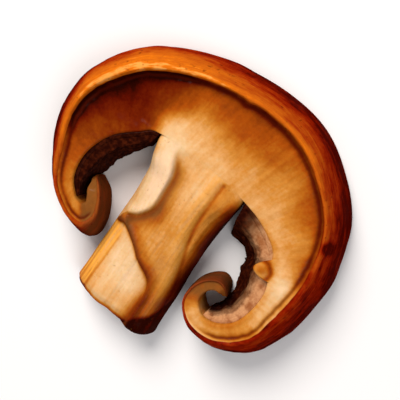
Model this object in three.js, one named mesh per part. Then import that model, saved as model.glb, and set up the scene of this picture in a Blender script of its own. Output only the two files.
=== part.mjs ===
// A lengthwise slice of a button mushroom, fried and lying on its larger cut face.
//
// +X runs across the cap, +Y runs from the stem's foot to the crown, and +Z is the slice's thickness.
// The cap is one ribbon of flesh under its skin: it is thick at the crown, and its two margins thin
// out and roll in towards the stem. The gills line the inside of the ribbon on each side of the stem.
import * as THREE from 'three';

// ---------------------------------------------------------------- driving dimensions, in millimetres
const capWidth = 50.2;          // skin to skin, at the widest level
const capRise = 20.5;           // from the widest level up to the crown
const marginDrop = 16.6;        // from the widest level down to the lowest point of the rolled margins
const sliceThickness = 8;       // lower cut face to the crest of the rim
const crownOffset = 1.4;        // how far right of the middle the crown stands

const crownFlesh = 15.6;        // skin to the top of the stem
const leftFlesh = 9.0;          // skin to the gills at the widest level, left
const rightFlesh = 7.4;         // the same, right
const marginFlesh = 4.0;        // skin to the gills at the lowest point of a margin

const skinLean = 3.1;           // how far the domed skin leans in between the two cut faces
const skinDoming = 2.2;         // 1 would be a straight wall; more keeps it upright low down
const crestInset = 0.3;         // from the top of the skin to the crest of the rim
const rimWidth = 1.3;           // the slope from the crest down to the shrunken flesh
const fleshDrop = 1.3;          // the flesh's surface below the crest of the rim
const edgeRound = 0.5;          // softened edges of the flesh

const stemWidth = 14.2;         // at the waist
const stemShoulder = 0.8;       // extra half-width where the stem spreads into the cap
const stemFoot = 0.4;           // extra half-width at the foot
const stemDrop = 22.2;          // from the widest level down to the cut foot
const stemLean = 2.7;           // how far the foot stands to the right of the shoulders
const logRounding = 2.6;        // the superellipse power of the stem's section; 2 is an ellipse
const flatRounding = 6;         // the same where the stem joins the flat flesh of the cap
const footDrop = 0.65;          // the cut foot's top edge below the rest of the stem

const leftGillDepth = 3.3;      // root to free edge, at the lowest gill
const rightGillDepth = 5.0;     // the same, right
const gillTopShare = 0.62;      // the uppermost gill's depth, as a share of the lowest one's
const gillCount = 8;
const gillPlate = 0.4;          // one gill's thickness
const gillRoot = 0.7;           // the solid strip that the gills stand on
const gillRise = 0.5;           // the lowest gill above the surface
const gillSink = 0.5;           // the uppermost gill below the flesh's surface

const jointGap = 0.3;           // clearance between neighbouring pieces
const freeGap = 0.45;           // clearance of the gills' free edges and ends
const curlClearance = 0.7;      // between a rolled margin and the stem

// ---------------------------------------------------------------- colours
const colours = {
  cap: { color: '#b4661f', roughness: 0.45, metalness: 0 },
  stem: { color: '#e3b168', roughness: 0.5, metalness: 0 },
  gills: { color: '#2a0f0a', roughness: 0.7, metalness: 0 },
};

// ---------------------------------------------------------------- the stem's two sides
const capHalf = capWidth / 2;
const shoulderLevel = capRise - crownFlesh;
const waistLevel = -0.3 * stemDrop;
const neckCentre = -stemLean / 2;

function smooth(low, high, value) {
  return THREE.MathUtils.smoothstep(value, low, high);
}

function stemHalfAt(y) {
  const spread = stemShoulder * smooth(waistLevel, shoulderLevel, y);
  const foot = stemFoot * smooth(-waistLevel, stemDrop, -y);
  return stemWidth / 2 + spread + foot;
}

function stemCentreAt(y) {
  return neckCentre + stemLean * (shoulderLevel - y) / (shoulderLevel + stemDrop);
}

const stemSide = (y, side) => stemCentreAt(y) + side * stemHalfAt(y);

// ---------------------------------------------------------------- the ribbon's two edges
// Each lobe's skin edge is given in shares of the lobe's own box. Across, 0 is the curl's closest point
// to the stem and 1 the widest point. Up, 1 is the crown, 0 the widest level and -1 the lowest point.
// The flesh edge, where the gills stand, has a point opposite each point of the skin edge. It is in
// shares of the hollow: across from the stem's shoulder to the flesh, and up from the margin to the crown.
const rightLobe = {
  side: 1,
  flesh: rightFlesh,
  skinEdge: [
    [0.14, 0.94], [0.68, 0.63], [0.945, 0.22], [1.0, -0.24], [0.9, -0.72], [0.6, -0.97], [0.24, -0.98],
    [0.02, -0.82], [0, -0.65], [0.05, -0.51], [0.16, -0.41], [0.26, -0.42], [0.32, -0.49],
  ],
  fleshEdge: [
    [0.03, 0.97], [0.58, 0.86], [0.86, 0.71], [1.0, 0.45], [0.97, 0.18], [0.8, 0.04], [0.59, 0],
    [0.43, 0.05], [0.385, 0.11], [0.4, 0.18], [0.46, 0.225], [0.52, 0.235], [0.57, 0.22],
  ],
};
const leftLobe = {
  side: -1,
  flesh: leftFlesh,
  skinEdge: [
    [0.12, 0.89], [0.62, 0.66], [0.94, 0.3], [1.0, -0.02], [0.9, -0.4], [0.61, -0.77], [0.27, -0.96],
    [0.055, -0.995], [0, -0.91], [0.02, -0.77], [0.08, -0.64], [0.17, -0.52], [0.28, -0.46],
  ],
  fleshEdge: [
    [0, 0.95], [0.4, 0.83], [0.76, 0.68], [0.95, 0.52], [1.0, 0.35], [0.88, 0.18], [0.6, 0.07],
    [0.42, 0.045], [0.36, 0.055], [0.34, 0.08], [0.4, 0.12], [0.49, 0.17], [0.56, 0.23],
  ],
};

const lowestFlesh = marginFlesh - marginDrop;
const curlLevel = -0.8 * marginDrop;

function skinPoint(lobe, [across, up]) {
  const nearest = Math.abs(stemSide(curlLevel, lobe.side)) + curlClearance;
  const x = lobe.side * THREE.MathUtils.lerp(nearest, capHalf, across);
  return new THREE.Vector2(x, up * (up > 0 ? capRise : marginDrop));
}

function fleshPoint(lobe, [across, up]) {
  const shoulder = Math.abs(stemSide(shoulderLevel, lobe.side));
  const x = lobe.side * THREE.MathUtils.lerp(shoulder, capHalf - lobe.flesh, across);
  return new THREE.Vector2(x, THREE.MathUtils.lerp(lowestFlesh, shoulderLevel, up));
}

// From the left curl's tip, over the crown, to the right curl's tip.
function edgeCurve(pointOf, edgeName, crown) {
  const left = leftLobe[edgeName].map((share) => pointOf(leftLobe, share)).reverse();
  const right = rightLobe[edgeName].map((share) => pointOf(rightLobe, share));
  return new THREE.SplineCurve([...left, crown, ...right]);
}

const skinCurve = edgeCurve(skinPoint, 'skinEdge', new THREE.Vector2(crownOffset, capRise));
const fleshCurve = edgeCurve(fleshPoint, 'fleshEdge', new THREE.Vector2(neckCentre, shoulderLevel));
const spans = skinCurve.points.length - 1;
const stepsPerSpan = 3;
const ribCount = spans * stepsPerSpan;

// A rib crosses the ribbon from the skin to the flesh edge.
function rib(share) {
  const skin = skinCurve.getPoint(share);
  const flesh = fleshCurve.getPoint(share);
  return { skin, flesh, length: skin.distanceTo(flesh) };
}

// ---------------------------------------------------------------- lofting
// Rings of equal point counts are joined one to the next, and the first and last are closed flat.
// Each ring is a list of {at: Vector3, flat: Vector2}; flat is the point's place in the ring's own plane.
function loft(rings) {
  const count = rings[0].length;
  const positions = rings.flatMap((ring) => ring.flatMap(({ at }) => at.toArray()));
  const index = [];
  for (let r = 0; r < rings.length - 1; r += 1) {
    for (let i = 0; i < count; i += 1) {
      const next = (i + 1) % count;
      const a = r * count + i;
      const b = r * count + next;
      index.push(a, b, b + count, a, b + count, a + count);
    }
  }
  const closeEnd = (ringIndex, flip) => {
    const outline = rings[ringIndex].map(({ flat }) => flat);
    const turned = flip !== THREE.ShapeUtils.isClockWise(outline);
    for (const triangle of THREE.ShapeUtils.triangulateShape(outline, [])) {
      const corners = triangle.map((i) => ringIndex * count + i);
      index.push(...(turned ? corners.reverse() : corners));
    }
  };
  closeEnd(0, true);
  closeEnd(rings.length - 1, false);
  const geometry = new THREE.BufferGeometry();
  geometry.setAttribute('position', new THREE.Float32BufferAttribute(positions, 3));
  geometry.setIndex(index);
  return geometry;
}

// A loft may come out with its faces turned in, depending on which way the rings run.
function facingOut(geometry) {
  const position = geometry.getAttribute('position');
  const index = geometry.getIndex();
  const corner = [0, 1, 2].map(() => new THREE.Vector3());
  let volume = 0;
  for (let i = 0; i < index.count; i += 3) {
    corner.forEach((point, k) => point.fromBufferAttribute(position, index.getX(i + k)));
    volume += corner[0].dot(corner[1].clone().cross(corner[2])) / 6;
  }
  if (volume < 0) {
    index.array.reverse();
  }
  geometry.computeVertexNormals();
  return geometry;
}

// ---------------------------------------------------------------- the cap
const fleshTop = sliceThickness - fleshDrop;
const thinMargin = 1.5;
const wallSteps = [0.12, 0.35, 0.55, 0.72, 0.86, 0.95];

// The section across the ribbon, as [distance from the skin, height], for a rib of the given length.
function capSection(length) {
  // A thin rolled margin stands upright and has a narrower rim and smaller roundings.
  const lean = skinLean * smooth(thinMargin, sliceThickness, length);
  const crest = lean + crestInset * Math.min(1, length / marginFlesh);
  const shoulder = crest + Math.min(rimWidth, 0.3 * (length - crest));
  const round = Math.min(edgeRound, 0.15 * length);
  const wall = wallSteps.map((height) => {
    return [lean * height ** skinDoming, sliceThickness * height];
  });
  return [
    [round, 0],
    ...wall,
    [crest, sliceThickness],
    [(crest + shoulder) / 2, (sliceThickness + fleshTop) / 2],
    [shoulder, fleshTop],
    [length - round, fleshTop],
    [length, fleshTop - round],
    [length, round],
    [length - round, 0],
  ];
}

function makeCap() {
  const rings = [];
  for (let i = 0; i <= ribCount; i += 1) {
    const { skin, flesh, length } = rib(i / ribCount);
    const inward = flesh.clone().sub(skin).normalize();
    rings.push(capSection(length).map(([across, height]) => {
      const place = skin.clone().addScaledVector(inward, across);
      return {
        at: new THREE.Vector3(place.x, place.y, height),
        flat: new THREE.Vector2(across, height),
      };
    }));
  }
  return facingOut(loft(rings));
}

// ---------------------------------------------------------------- the stem
// Its upper end follows the flesh edge over the shoulders.
const junctionStart = (leftLobe.skinEdge.length - 2) / spans;
const junctionEnd = (leftLobe.skinEdge.length + 2) / spans;
const junctionSteps = 120;
const junctionSamples = Array.from({ length: junctionSteps + 1 }, (_, i) => {
  return fleshCurve.getPoint(THREE.MathUtils.lerp(junctionStart, junctionEnd, i / junctionSteps));
});

function junctionAt(x) {
  const after = junctionSamples.findIndex((point) => point.x >= x);
  const a = junctionSamples[Math.max(after - 1, 0)];
  const b = junctionSamples[after < 0 ? junctionSamples.length - 1 : after];
  const share = b.x > a.x ? (x - a.x) / (b.x - a.x) : 0;
  return THREE.MathUtils.lerp(a.y, b.y, share);
}

const stemRings = 16;
const stemArc = 20;
const mergeStart = 0.72;        // where the stem starts to flatten into the cap, as a share of its length
const footEnd = 0.08;           // how much of its length the softened foot takes

function makeStem() {
  const rings = [];
  for (let r = 0; r <= stemRings; r += 1) {
    const up = r / stemRings;
    const level = THREE.MathUtils.lerp(-stemDrop, shoulderLevel, up);
    // Rounded like a log along its length, and flat like the flesh where it joins the cap.
    const nearCap = smooth(mergeStart, 1, up);
    const power = THREE.MathUtils.lerp(logRounding, flatRounding, nearCap);
    const logTop = sliceThickness - footDrop * (1 - smooth(0, footEnd, up));
    const height = THREE.MathUtils.lerp(logTop, fleshTop, nearCap);
    const ring = [];
    for (let i = 0; i <= stemArc; i += 1) {
      const angle = Math.PI * i / stemArc;
      const across = Math.sign(Math.cos(angle)) * Math.abs(Math.cos(angle)) ** (2 / power);
      const z = height * Math.sin(angle) ** (2 / power);
      const x = stemCentreAt(level) + stemHalfAt(level) * across;
      const top = junctionAt(x) - jointGap;
      const y = THREE.MathUtils.lerp(-stemDrop, top, up);
      ring.push({ at: new THREE.Vector3(x, y, i % stemArc ? z : 0), flat: new THREE.Vector2(x, z) });
    }
    rings.push(ring);
  }
  return facingOut(loft(rings));
}

// ---------------------------------------------------------------- the gills
// Where the line from one point to another first meets a stretch of wall, as a share of the line.
const justOff = 0.02;           // a line that starts beside a wall doesn't meet it
const nearParallel = 1e-9;

function crosses(from, to, a, b) {
  const reach = to.clone().sub(from);
  const wall = b.clone().sub(a);
  const offset = a.clone().sub(from);
  const turn = reach.cross(wall);
  if (Math.abs(turn) < nearParallel) {
    return Infinity;
  }
  const along = offset.cross(wall) / turn;
  const across = offset.cross(reach) / turn;
  const meets = along > justOff && along <= 1 && across >= 0 && across <= 1;
  return meets ? along : Infinity;
}

// The cap's outline and the stem's two sides, which a gill keeps clear of.
function outlines() {
  const ribs = Array.from({ length: ribCount + 1 }, (_, i) => rib(i / ribCount));
  const skin = ribs.map((one) => one.skin);
  const flesh = ribs.map((one) => one.flesh).reverse();
  const stem = [-1, 1].map((side) => Array.from({ length: stemRings + 1 }, (_, i) => {
    const y = THREE.MathUtils.lerp(-stemDrop, shoulderLevel, i / stemRings);
    return new THREE.Vector2(stemSide(y, side), y);
  }));
  return [[...skin, ...flesh, skin[0]], ...stem];
}

const walls = outlines();

// How far a gill reaches into the hollow: as deep as wanted, or up to the curl or the stem.
function clearReach(from, direction, wanted) {
  const far = from.clone().addScaledVector(direction, wanted * 2);
  let share = 1;
  for (const wall of walls) {
    for (let i = 1; i < wall.length; i += 1) {
      share = Math.min(share, crosses(from, far, wall[i - 1], wall[i]));
    }
  }
  return Math.min(wanted, share * wanted * 2 - freeGap);
}

// The section across a stack of gills, as [distance from the root, height]: a comb with a solid back.
function gillSection(depth) {
  const lowest = gillRise;
  const highest = fleshTop - gillSink;
  const pitch = (highest - lowest - gillPlate) / (gillCount - 1);
  const root = Math.min(gillRoot, 0.45 * depth);
  const comb = [[0, lowest]];
  for (let i = 0; i < gillCount; i += 1) {
    const z = lowest + i * pitch;
    const reach = depth * THREE.MathUtils.lerp(1, gillTopShare, i / (gillCount - 1));
    if (i > 0) {
      comb.push([root, z]);
    }
    comb.push([reach, z + gillPlate / 4], [reach, z + gillPlate * 3 / 4]);
    comb.push([i < gillCount - 1 ? root : 0, z + gillPlate]);
  }
  return comb;
}

// The gills start beside the stem's shoulder and end inside the curl. Places along them are counted in
// the ribbon's spans, from the crown.
const crownSpan = leftLobe.skinEdge.length;
const lastGillSpan = crownSpan * 0.55;
const gillSteps = 22;
const searchStep = 0.02;
const gillStart = 0.6;          // a gill's depth beside the stem, as a share of its full depth
const gillTip = 0.25;           // what is left of it inside the curl
const growthEnd = 0.12;         // where it has grown to its full depth, as a share of its length
const taperStart = 0.72;        // where it starts to taper

// A gill's root, just off the flesh edge, and the way from there into the hollow.
function gillRootAt(side, span) {
  const share = (crownSpan + side * span) / spans;
  const tangent = fleshCurve.getTangent(share);
  const inward = new THREE.Vector2(tangent.y, -tangent.x);
  return { root: fleshCurve.getPoint(share).addScaledVector(inward, jointGap), inward };
}

// The first place where a gill of this depth stands clear of the stem.
function firstGillSpan(side, depth) {
  let span = 1;
  const clearOfStem = ({ root, inward }) => [0, depth].every((reach) => {
    const point = root.clone().addScaledVector(inward, reach);
    return side * (point.x - stemSide(point.y, side)) > freeGap;
  });
  while (span < lastGillSpan && !clearOfStem(gillRootAt(side, span))) {
    span += searchStep;
  }
  return span;
}

function makeGills(side) {
  const depth = side < 0 ? leftGillDepth : rightGillDepth;
  const startDepth = gillStart * depth;
  const firstSpan = firstGillSpan(side, startDepth);
  const stations = [];
  for (let i = 0; i <= gillSteps; i += 1) {
    const along = i / gillSteps;
    const { root, inward } = gillRootAt(side, THREE.MathUtils.lerp(firstSpan, lastGillSpan, along));
    const growth = THREE.MathUtils.lerp(startDepth, depth, smooth(0, growthEnd, along));
    const taper = THREE.MathUtils.lerp(1, gillTip, smooth(taperStart, 1, along));
    stations.push({ root, inward, reach: clearReach(root, inward, growth * taper) });
  }
  const rings = stations.map(({ root, inward }, i) => {
    const neighbours = stations.slice(Math.max(i - 1, 0), i + 2);
    const reach = Math.min(...neighbours.map((station) => station.reach));
    return gillSection(reach).map(([across, height]) => {
      const place = root.clone().addScaledVector(inward, across);
      return {
        at: new THREE.Vector3(place.x, place.y, height),
        flat: new THREE.Vector2(across, height),
      };
    });
  });
  return facingOut(loft(rings));
}

// ---------------------------------------------------------------- assembly
function piece(name, geometry, look) {
  const mesh = new THREE.Mesh(geometry, new THREE.MeshStandardMaterial(look));
  mesh.name = name;
  return mesh;
}

const slice = new THREE.Group();
slice.add(
  piece('cap', makeCap(), colours.cap),
  piece('stem', makeStem(), colours.stem),
  piece('gills_left', makeGills(-1), colours.gills),
  piece('gills_right', makeGills(1), colours.gills),
);

// The origin is on the resting surface, under the middle of the slice's box.
const box = new THREE.Box3().setFromObject(slice);
const middle = box.getCenter(new THREE.Vector3());
for (const mesh of slice.children) {
  mesh.position.set(-middle.x, -middle.y, -box.min.z);
}

export default slice;
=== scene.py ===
"""Looks for a fried slice of button mushroom, built around its packed CAD frame.

Lengths are in metres. +X runs across the cap, +Y from the stem's foot to the crown, +Z up.
The flesh's fibres run from the stem's foot up into the cap and fan out under the skin. The cap's and the
stem's UV maps follow them: U is the strand's place on the flesh edge, where the gills stand, counted from
the neck, and V is the way along the strand, up into the cap or down the stem.
"""

import math

import bpy
import numpy as np
from bpy.props import FloatProperty, FloatVectorProperty, IntProperty, PointerProperty
from mathutils import Matrix, Vector


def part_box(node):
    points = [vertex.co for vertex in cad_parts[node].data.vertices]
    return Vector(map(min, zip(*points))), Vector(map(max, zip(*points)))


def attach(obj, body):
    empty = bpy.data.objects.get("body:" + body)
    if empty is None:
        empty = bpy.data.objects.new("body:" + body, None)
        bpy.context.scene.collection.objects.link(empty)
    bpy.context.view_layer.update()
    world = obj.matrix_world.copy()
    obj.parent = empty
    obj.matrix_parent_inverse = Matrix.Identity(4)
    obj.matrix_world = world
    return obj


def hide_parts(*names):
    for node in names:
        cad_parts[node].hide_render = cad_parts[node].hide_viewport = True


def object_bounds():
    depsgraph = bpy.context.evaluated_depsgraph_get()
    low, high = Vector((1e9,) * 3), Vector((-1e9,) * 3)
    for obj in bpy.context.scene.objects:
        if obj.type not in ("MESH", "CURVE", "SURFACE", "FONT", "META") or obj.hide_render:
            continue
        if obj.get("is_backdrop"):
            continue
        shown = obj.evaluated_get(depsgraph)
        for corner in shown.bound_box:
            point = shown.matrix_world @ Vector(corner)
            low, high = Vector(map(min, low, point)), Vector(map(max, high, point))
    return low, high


bl_info = {
    "name": "Fried mushroom slice",
    "version": (1, 0, 0),
    "blender": (4, 5, 0),
    "location": "3D View > Sidebar > Mushroom",
    "description": "Builds the cap, stem and gills of a fried slice of button mushroom",
    "category": "Add Mesh",
}

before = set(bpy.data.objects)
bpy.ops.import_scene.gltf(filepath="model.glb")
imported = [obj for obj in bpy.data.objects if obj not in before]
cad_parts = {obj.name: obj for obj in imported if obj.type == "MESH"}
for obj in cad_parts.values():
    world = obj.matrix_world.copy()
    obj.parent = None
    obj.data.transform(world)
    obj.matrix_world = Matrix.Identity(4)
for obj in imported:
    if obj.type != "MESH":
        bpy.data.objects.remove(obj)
SOLID_LOW, SOLID_HIGH = (np.array(corner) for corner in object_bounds())
CAP_LOW, CAP_HIGH = (np.array(corner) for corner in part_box("cap"))
STEM_LOW = np.array(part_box("stem")[0])
MM = 0.001


# ------------------------------------------------------------------ small maths
def smooth(low, high, value):
    """0 below low, 1 above high, and an S between them."""
    t = np.clip((np.asarray(value, float) - low) / (high - low), 0, 1)
    return t * t * (3 - 2 * t)


def mix(a, b, share):
    return a + (b - a) * share


def hump(value, centre, width):
    """A bell of height 1."""
    return np.exp(-(((value - centre) / width) ** 2))


def grain(x, y, seed):
    """Smooth noise from -1 to 1 over a plane, one feature to a unit."""
    x, y = np.broadcast_arrays(np.asarray(x, float), np.asarray(y, float))
    column, row = np.floor(x).astype(np.int64), np.floor(y).astype(np.int64)

    def corner(right, up):
        key = (column + right) * 374761393 + (row + up) * 668265263 + seed * 974634777
        key = (key ^ (key >> 13)) * 1274126177 & 0xFFFFFFFF
        return ((key ^ (key >> 16)) & 0xFFFF) / 32767.5 - 1

    across, up = smooth(0, 1, x - column), smooth(0, 1, y - row)
    low = mix(corner(0, 0), corner(1, 0), across)
    high = mix(corner(0, 1), corner(1, 1), across)
    return mix(low, high, up)


def rough(x, y, seed, octaves):
    """Several sizes of grain, each finer one half as strong."""
    total, weight = 0, 1
    for octave in range(octaves):
        total = total + weight * grain(x * 2**octave, y * 2**octave, seed + octave)
        weight = weight / 2
    return total


def spline(points, share):
    """Places on a uniform Catmull-Rom curve through the points, at shares of its length in spans."""
    points = np.asarray(points, float)
    spans = len(points) - 1
    place = np.clip(np.atleast_1d(share), 0, 1) * spans
    first = np.minimum(place.astype(int), spans - 1)
    t = (place - first)[:, None]
    before, start = points[np.maximum(first - 1, 0)], points[first]
    end, after = points[first + 1], points[np.minimum(first + 2, spans)]
    leave, arrive = (end - before) / 2, (after - start) / 2
    cubic = (2 * (start - end) + leave + arrive) * t**3
    return cubic + (3 * (end - start) - 2 * leave - arrive) * t**2 + leave * t + start


def path_distance(x, y, points):
    """Distance to a given line, positive on its left, and the share of the way along it."""
    line = spline(points, np.linspace(0, 1, 12 * len(points)))
    spot = np.stack([x, y], axis=-1)[..., None, :]
    start, step = line[:-1], np.diff(line, axis=0)
    along = np.clip(((spot - start) * step).sum(-1) / (step**2).sum(-1), 0, 1)
    off = spot - start - along[..., None] * step
    distance = np.hypot(off[..., 0], off[..., 1])
    nearest = distance.argmin(-1)[..., None]
    side = step[:, 0] * off[..., 1] - step[:, 1] * off[..., 0]

    def pick(values):
        return np.take_along_axis(values, nearest, -1)[..., 0]

    share = (nearest[..., 0] + pick(along)) / len(step)
    return pick(distance) * np.sign(pick(side)), share


# ------------------------------------------------------------------ the slice's sizes
def millimetres(name, description, size):
    """A length's property, with its size in millimetres."""
    return FloatProperty(name=name, description=description, default=size * MM, unit="LENGTH")


class SliceSizes(bpy.types.PropertyGroup):
    """Sizes of the whole slice that the pieces share."""

    crown_flesh: millimetres("Crown flesh", "Skin to the top of the stem", 15.6)
    left_flesh: millimetres("Left flesh", "Skin to the gills, left", 9.0)
    right_flesh: millimetres("Right flesh", "Skin to the gills, right", 7.4)
    margin_flesh: millimetres("Margin flesh", "Skin to the gills, low down", 4.0)
    margin_drop: millimetres("Margin drop", "Widest level to the lowest point of the rolled margins", 16.6)
    crown_offset: millimetres("Crown offset", "Crown to the right of the middle", 1.4)
    stem_width: millimetres("Stem width", "Width at the waist", 14.2)
    stem_lean: millimetres("Stem lean", "Foot to the right of the shoulders", 2.7)
    stem_drop: millimetres("Stem drop", "Widest level down to the foot", 22.2)


class CapSizes(bpy.types.PropertyGroup):
    """The cap's own sizes."""

    skin_lean: millimetres("Skin lean", "How far the skin leans in", 3.1)
    rib_count: IntProperty(name="Ribs", description="Steps along the cap", default=620, min=60)
    top_steps: IntProperty(name="Top steps", description="Steps across the flesh", default=56, min=8)
    seed: IntProperty(name="Seed", description="Which wrinkles the cap gets", default=11)


class StemSizes(bpy.types.PropertyGroup):
    """The stem's own sizes."""

    ring_count: IntProperty(name="Rings", description="Steps along the stem", default=170, min=20)
    arc_steps: IntProperty(name="Arc steps", description="Steps over the stem's back", default=150, min=20)
    groove_depth: millimetres("Groove depth", "Depth of the fold beside the flap", 0.6)
    panel_depth: millimetres("Panel depth", "How far the torn panel lies back", 1.1)
    seed: IntProperty(name="Seed", description="Which fibres the stem gets", default=23)


class GillSizes(bpy.types.PropertyGroup):
    """The gills' sizes."""

    count: IntProperty(name="Gills", description="Gills in one stack", default=13, min=2)
    thickness: millimetres("Thickness", "One gill's thickness", 0.24)
    left_depth: millimetres("Left depth", "Root to free edge, left", 3.3)
    right_depth: millimetres("Right depth", "Root to free edge, right", 5.0)
    left_top_share: FloatProperty(
        name="Left top share", description="Top gill's depth over the lowest one's", default=0.62,
        subtype="FACTOR",
    )
    right_top_share: FloatProperty(
        name="Right top share", description="The same, right", default=0.45, subtype="FACTOR"
    )
    waviness: millimetres("Waviness", "How far a gill wanders up and down", 0.16)
    seed: IntProperty(name="Seed", description="Which way the gills wander", default=5)


# ------------------------------------------------------------------ the slice seen from above
# Each lobe's skin edge is in shares of the lobe's own box. Across, 0 is the curl's closest point to the
# stem and 1 the widest point; up, 1 is the crown, 0 the widest level and -1 the lowest point. The flesh
# edge has a point opposite each one: across from the stem's shoulder to the flesh, and up from the margin
# to the crown.
RIGHT_SKIN = (
    (0.14, 0.94), (0.68, 0.63), (0.945, 0.22), (1.0, -0.24), (0.9, -0.72), (0.6, -0.97), (0.24, -0.98),
    (0.02, -0.82), (0, -0.65), (0.05, -0.51), (0.16, -0.41), (0.26, -0.42), (0.32, -0.49),
)
RIGHT_FLESH = (
    (0.03, 0.97), (0.58, 0.86), (0.86, 0.71), (1.0, 0.45), (0.97, 0.18), (0.8, 0.04), (0.59, 0),
    (0.43, 0.05), (0.385, 0.11), (0.4, 0.18), (0.46, 0.225), (0.52, 0.235), (0.57, 0.22),
)
LEFT_SKIN = (
    (0.12, 0.89), (0.62, 0.66), (0.94, 0.3), (1.0, -0.02), (0.9, -0.4), (0.61, -0.77), (0.27, -0.96),
    (0.055, -0.995), (0, -0.91), (0.02, -0.77), (0.08, -0.64), (0.17, -0.52), (0.28, -0.46),
)
LEFT_FLESH = (
    (0, 0.95), (0.4, 0.83), (0.76, 0.68), (0.95, 0.52), (1.0, 0.35), (0.88, 0.18), (0.6, 0.07),
    (0.42, 0.045), (0.36, 0.055), (0.34, 0.08), (0.4, 0.12), (0.49, 0.17), (0.56, 0.23),
)
CROWN_SPAN = len(LEFT_SKIN)
SPANS = 2 * CROWN_SPAN
CURL_CLEARANCE = 0.7
SHOULDER_SPREAD = 0.8
FOOT_SPREAD = 0.4


def travelled(points):
    """Length along a line of points, from 0 at the first."""
    return np.concatenate([[0], np.cumsum(np.hypot(*np.diff(points, axis=0).T))])


class Plan:
    """The slice seen from above, in millimetres: the cap as a ribbon between skin and flesh, and the stem."""

    def __init__(self):
        sizes = bpy.context.scene.slice_sizes
        self.flesh = {-1: sizes.left_flesh / MM, 1: sizes.right_flesh / MM}
        self.stem_width, self.stem_lean = sizes.stem_width / MM, sizes.stem_lean / MM
        self.margin_drop = sizes.margin_drop / MM
        self.foot, self.crown = STEM_LOW[1] / MM, CAP_HIGH[1] / MM
        self.half, self.thickness = (CAP_HIGH[0] - CAP_LOW[0]) / 2 / MM, CAP_HIGH[2] / MM
        self.stem_drop = sizes.stem_drop / MM
        self.widest = self.foot + self.stem_drop
        self.shoulder = self.crown - sizes.crown_flesh / MM
        self.lowest_flesh = self.widest + sizes.margin_flesh / MM - self.margin_drop
        self.neck = -self.stem_lean / 2
        skin = [self.skin_point(-1, *share) for share in reversed(LEFT_SKIN)]
        skin += [(sizes.crown_offset / MM, self.crown)]
        self.skin_points = skin + [self.skin_point(1, *share) for share in RIGHT_SKIN]
        flesh = [self.flesh_point(-1, *share) for share in reversed(LEFT_FLESH)]
        flesh += [(self.neck, self.shoulder)]
        self.flesh_points = flesh + [self.flesh_point(1, *share) for share in RIGHT_FLESH]
        self.table = np.linspace(0, 1, 4001)
        edges = self.skin_edge(self.table), self.flesh_edge(self.table)
        self.skin_arc, self.flesh_arc = (travelled(edge) - travelled(edge)[2000] for edge in edges)
        self.even_arc = travelled((edges[0] + edges[1]) / 2)
        middle = np.abs(self.table * SPANS - CROWN_SPAN) <= 2
        self.junction_line, self.junction_arc = edges[1][middle], self.flesh_arc[middle]

    def stem_half(self, y):
        waist = self.widest - 0.3 * self.stem_drop
        spread = SHOULDER_SPREAD * smooth(waist, self.shoulder, y)
        foot = FOOT_SPREAD * smooth(0.3 * self.stem_drop, self.stem_drop, self.widest - np.asarray(y))
        return self.stem_width / 2 + spread + foot

    def stem_centre(self, y):
        return self.neck + self.stem_lean * (self.shoulder - y) / (self.shoulder - self.foot)

    def stem_side(self, y, side):
        return self.stem_centre(y) + side * self.stem_half(y)

    def skin_point(self, side, across, up):
        curl = self.widest - 0.8 * self.margin_drop
        nearest = abs(self.stem_side(curl, side)) + CURL_CLEARANCE
        rise = self.crown - self.widest if up > 0 else self.margin_drop
        return side * mix(nearest, self.half, across), self.widest + up * rise

    def flesh_point(self, side, across, up):
        shoulder = abs(self.stem_side(self.shoulder, side))
        x = side * mix(shoulder, self.half - self.flesh[side], across)
        return x, mix(self.lowest_flesh, self.shoulder, up)

    def skin_edge(self, share):
        return spline(self.skin_points, share)

    def flesh_edge(self, share):
        return spline(self.flesh_points, share)

    def even_shares(self, count):
        """Shares of the ribbon's length, evenly spaced along its middle from tip to tip."""
        return np.interp(np.linspace(0, self.even_arc[-1], count + 1), self.even_arc, self.table)

    def junction(self, x):
        """How far up the stem reaches, where it runs into the cap."""
        return np.interp(x, self.junction_line[:, 0], self.junction_line[:, 1])

    def strand(self, x):
        """The strand's place on the flesh edge, for a place across the neck."""
        return np.interp(x, self.junction_line[:, 0], self.junction_arc)


# ------------------------------------------------------------------ relief and browning of the cut face
# Heights are in millimetres above the lower cut face.
RIDGE_LEVELS = (-21.4, -18, -10, -2, 5.5, 9, 12, 17)
RIDGE_HEIGHTS = (7.25, 7.5, 7.6, 7.6, 7.15, 6.75, 6.5, 6.4)
FLAT_HEIGHT = 6.4
RIDGE_SPREAD_LEVELS, RIDGE_SPREADS = (-2, 5, 12), (30, 9, 8)
FOLD_LINE = (
    (-6.15, 4.95), (-3.85, 1.95), (-3.15, -1.15), (-2.75, -4.15), (-3.85, -6.45), (-5.05, -7.65),
    (-5.75, -8.35),
)
TEAR_LINE = (
    (-7.4, -8.4), (-6.65, -9.85), (-5.05, -9.15), (-2.05, -10.25), (0.25, -11.75), (2.85, -12.95),
    (4.05, -14.85), (4.35, -17.55), (4.75, -21.6),
)
STRIP_LINE = (
    (2.9, 5.2), (3.3, -0.35), (4.0, -4.15), (5.4, -7.95), (6.65, -11.75), (7.35, -15.65), (8.55, -19.45),
)
CHAR_LINE = ((4.2, -22.0), (5.1, -19.2), (7.0, -17.1), (7.8, -14.8), (8.9, -10.0))
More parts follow.
